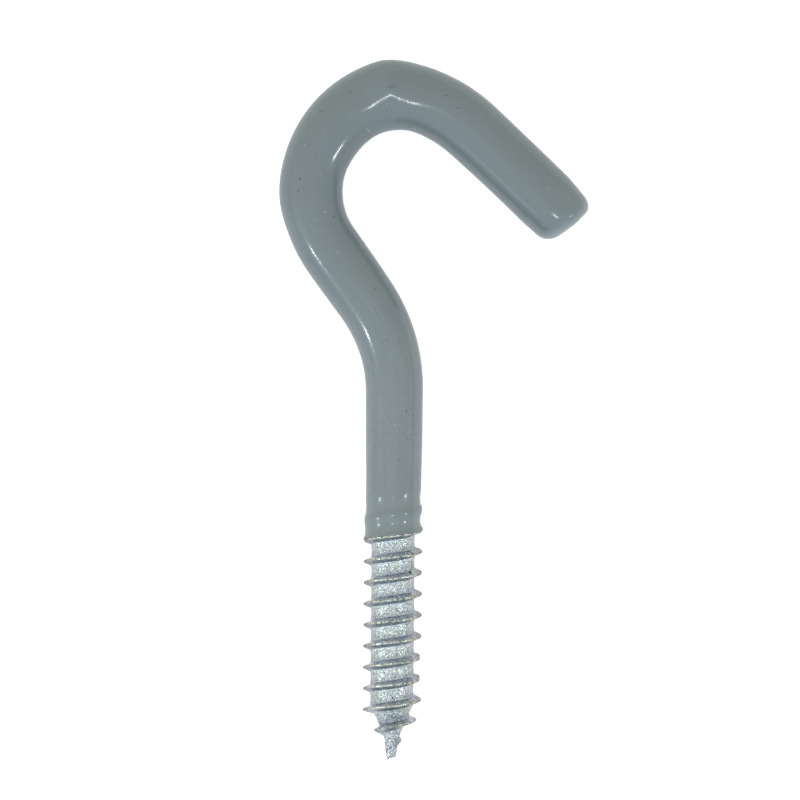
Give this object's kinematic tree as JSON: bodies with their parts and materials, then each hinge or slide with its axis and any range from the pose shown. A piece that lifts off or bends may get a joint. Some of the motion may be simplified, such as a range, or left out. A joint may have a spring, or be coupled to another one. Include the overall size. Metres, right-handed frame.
{
  "type": "screw hook",
  "caption": "Open screw hook of round wire, bent to a wide J, with a wood thread and gimlet point below and a grey vinyl-dipped bend and free end.",
  "frame": {"origin": "on the screw's axis, at the front of the vinyl's lower edge, where the bare thread begins", "axes": "the hook lies flat with its wire in the XY plane: +Y up the shank away from the point, +X the side the hook opens to, +Z across the wire, up as it lies"},
  "size_m": [0.0415, 0.0931, 0.009],
  "materials": {
    "zinc_plated_steel": "bright zinc plate over thread-rolled wire, finely mottled, with worn grey crests",
    "grey_vinyl": "glossy dipped PVC plastisol in blue-grey, slightly wavy, with a few specks and a set drip"
  },
  "bodies": {
    "root": {"steel_hook": "zinc_plated_steel", "vinyl_coat": "grey_vinyl"}
  },
  "joints": []
}
